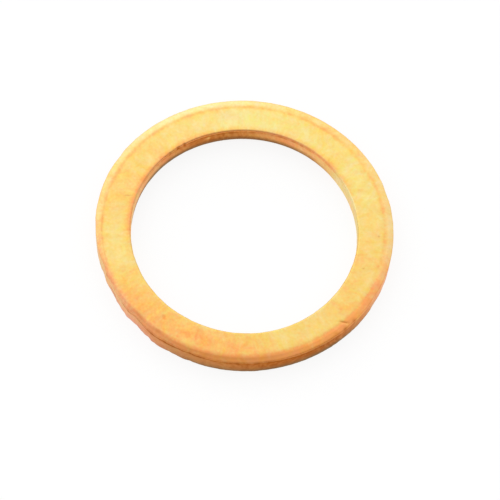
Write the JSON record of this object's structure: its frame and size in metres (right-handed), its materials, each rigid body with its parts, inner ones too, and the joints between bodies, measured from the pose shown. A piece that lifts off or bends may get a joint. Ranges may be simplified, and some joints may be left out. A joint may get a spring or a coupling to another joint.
{
  "type": "crush washer",
  "caption": "Copper crush washer: a flat ring of folded copper sheet with smooth bends at the bore, a creased and rounded rim and an open seam along its outer wall.",
  "frame": {"origin": "On the washer's axis, in the plane that its lower face rests on", "axes": "+Z is the washer's axis and points up out of the face that has the crease; X and Y are alike, because the ring is round"},
  "size_m": [0.0184, 0.0184, 0.0015],
  "materials": {
    "copper": "pressed copper sheet, polished on the face and duller on the rim and in the bore"
  },
  "bodies": {
    "root": {"crush_washer": "copper"}
  },
  "joints": []
}
